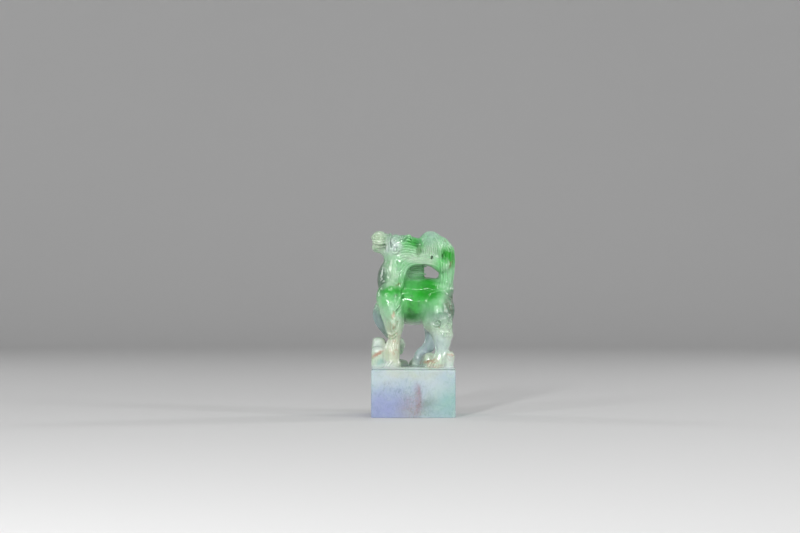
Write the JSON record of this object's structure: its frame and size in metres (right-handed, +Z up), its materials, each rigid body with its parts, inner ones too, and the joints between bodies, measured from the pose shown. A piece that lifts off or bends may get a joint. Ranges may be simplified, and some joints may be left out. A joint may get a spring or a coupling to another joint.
{
  "type": "carved seal",
  "caption": "Carved jade seal: a square block with a standing lion-like mythical beast as its knob, its mane and tail joined over a pierced gap, all cut from one stone",
  "frame": {"origin": "centre of the square seal face, the underside that the block stands on", "axes": "+Z up through the beast's back, the beast looks along -X, its near side faces -Y"},
  "size_m": [0.0264, 0.026, 0.0579],
  "materials": {
    "jade": "polished"
  },
  "bodies": {
    "root": {"seal": "jade"}
  },
  "joints": []
}
